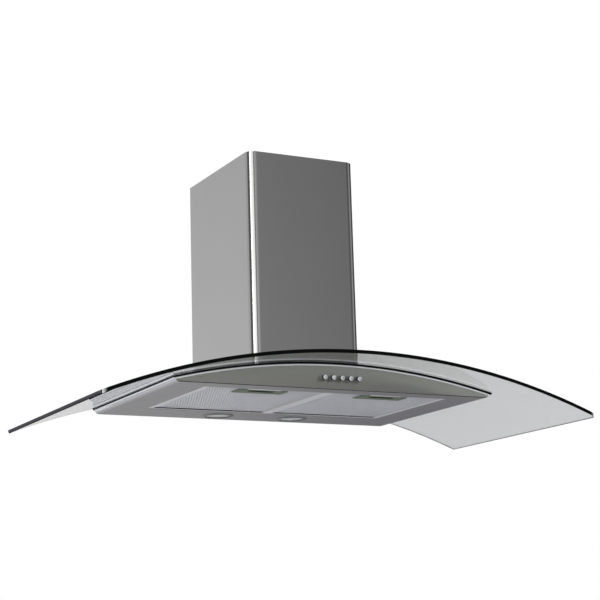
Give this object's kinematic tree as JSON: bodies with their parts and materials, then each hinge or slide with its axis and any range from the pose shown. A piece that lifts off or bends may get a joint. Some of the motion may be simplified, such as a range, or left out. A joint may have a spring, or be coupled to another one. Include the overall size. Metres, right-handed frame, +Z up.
{
  "type": "curved glass range hood",
  "caption": "Wall-hung cooker hood: a curved glass canopy over a shallow steel tray with grease filters, lamps and push buttons, under a telescopic chimney with a blower.",
  "frame": {"origin": "midway between the two wall screw holes, on the back face of the wall plate", "axes": "+X to the right seen from the front, +Y towards the wall, +Z up"},
  "size_m": [0.9, 0.456, 0.4723],
  "materials": {
    "glass": "polished, faint green-grey tint",
    "gasket": "matt black foam rubber",
    "polished_steel": "bright lip",
    "brushed_steel": "fine brushed stainless steel",
    "galvanised": "plain galvanised sheet",
    "satin_aluminium": "satin",
    "filter_mesh": "fine expanded mesh",
    "handle_steel": "satin, dull",
    "button_chrome": "polished",
    "zinc": "bright zinc",
    "lamp_chrome": "satin chrome",
    "lamp_glass": "clear",
    "lamp_mirror": "bright",
    "motor_enamel": "black enamel",
    "impeller_plastic": "moulded",
    "white_plastic": "moulded",
    "black_plastic": "moulded"
  },
  "bodies": {
    "hood": {"glass_canopy": "glass", "glass_gasket": "gasket", "rim_frame": "polished_steel", "front_fascia": "brushed_steel", "underside_panel": "brushed_steel", "rear_panel": "galvanised", "filter_ledge": "satin_aluminium", "tray_deck": "galvanised", "deck_screws": "zinc", "wall_plate": "galvanised", "motor_housing": "galvanised", "housing_top": "galvanised", "glass_clamps": "galvanised", "clamp_screws": "zinc", "blower_scroll": "galvanised", "motor": "motor_enamel", "motor_bracket": "galvanised", "motor_screws": "zinc", "run_capacitor": "white_plastic", "capacitor_clip": "galvanised", "duct_collar": "black_plastic", "damper_pin": "zinc", "junction_box": "black_plastic", "junction_lid": "black_plastic", "cable_gland": "black_plastic", "lamp_driver": "white_plastic", "switch_block": "black_plastic", "chimney_lower": "brushed_steel", "lamp_left_bezel": "lamp_chrome", "lamp_left_lens": "lamp_glass", "lamp_left_reflector": "lamp_mirror", "lamp_left_bulb": "lamp_glass", "lamp_right_bezel": "lamp_chrome", "lamp_right_lens": "lamp_glass", "lamp_right_reflector": "lamp_mirror", "lamp_right_bulb": "lamp_glass"},
    "off_button": {"button_off": "button_chrome"},
    "low_button": {"button_low": "button_chrome"},
    "medium_button": {"button_medium": "button_chrome"},
    "high_button": {"button_high": "button_chrome"},
    "light_button": {"button_light": "button_chrome"},
    "left_filter": {"filter_left_casing": "satin_aluminium", "filter_left_mesh": "filter_mesh", "filter_left_handle": "handle_steel", "filter_left_spring": "zinc"},
    "left_latch": {"filter_left_latch": "handle_steel"},
    "right_filter": {"filter_right_casing": "satin_aluminium", "filter_right_mesh": "filter_mesh", "filter_right_handle": "handle_steel", "filter_right_spring": "zinc"},
    "right_latch": {"filter_right_latch": "handle_steel"},
    "rotor": {"impeller": "impeller_plastic", "motor_shaft": "zinc"},
    "front_flap": {"damper_flap_front": "black_plastic"},
    "rear_flap": {"damper_flap_rear": "black_plastic"},
    "upper_chimney": {"chimney_upper": "brushed_steel", "chimney_bracket": "galvanised", "bracket_screws": "zinc"}
  },
  "joints": [
    {"name": "off_press", "type": "slide", "parent": "hood", "child": "off_button", "axis": [0, 1, 0], "range_m": [0, 0.003], "stiffness_N_per_m": 300, "springref_m": -0.002},
    {"name": "low_press", "type": "slide", "parent": "hood", "child": "low_button", "axis": [0, 1, 0], "range_m": [0, 0.003], "stiffness_N_per_m": 300, "springref_m": -0.002},
    {"name": "medium_press", "type": "slide", "parent": "hood", "child": "medium_button", "axis": [0, 1, 0], "range_m": [0, 0.003], "stiffness_N_per_m": 300, "springref_m": -0.002},
    {"name": "high_press", "type": "slide", "parent": "hood", "child": "high_button", "axis": [0, 1, 0], "range_m": [0, 0.003], "stiffness_N_per_m": 300, "springref_m": -0.002},
    {"name": "light_press", "type": "slide", "parent": "hood", "child": "light_button", "axis": [0, 1, 0], "range_m": [0, 0.003], "stiffness_N_per_m": 300, "springref_m": -0.002},
    {"name": "left_filter_drop", "type": "hinge", "parent": "hood", "child": "left_filter", "pos_m": [0, -0.0888, -0.1971], "axis": [1, 0, 0], "range_deg": [0, 50]},
    {"name": "left_latch_slide", "type": "slide", "parent": "left_filter", "child": "left_latch", "axis": [0, 1, 0], "range_m": [0, 0.005], "stiffness_N_per_m": 200, "springref_m": -0.004, "deforming": ["filter_left_spring"]},
    {"name": "right_filter_drop", "type": "hinge", "parent": "hood", "child": "right_filter", "pos_m": [0, -0.0888, -0.1971], "axis": [1, 0, 0], "range_deg": [0, 50]},
    {"name": "right_latch_slide", "type": "slide", "parent": "right_filter", "child": "right_latch", "axis": [0, 1, 0], "range_m": [0, 0.005], "stiffness_N_per_m": 200, "springref_m": -0.004, "deforming": ["filter_right_spring"]},
    {"name": "impeller_spin", "type": "hinge", "parent": "hood", "child": "rotor", "pos_m": [0, -0.095, -0.06], "axis": [1, 0, 0], "continuous": true},
    {"name": "front_flap_swing", "type": "hinge", "parent": "hood", "child": "front_flap", "pos_m": [0, -0.1535, 0.068], "axis": [-1, 0, 0], "range_deg": [0, 78]},
    {"name": "rear_flap_swing", "type": "hinge", "parent": "hood", "child": "rear_flap", "pos_m": [0, -0.1535, 0.068], "axis": [1, 0, 0], "range_deg": [0, 78]},
    {"name": "chimney_extend", "type": "slide", "parent": "hood", "child": "upper_chimney", "axis": [0, 0, 1], "range_m": [0, 0.33]}
  ]
}
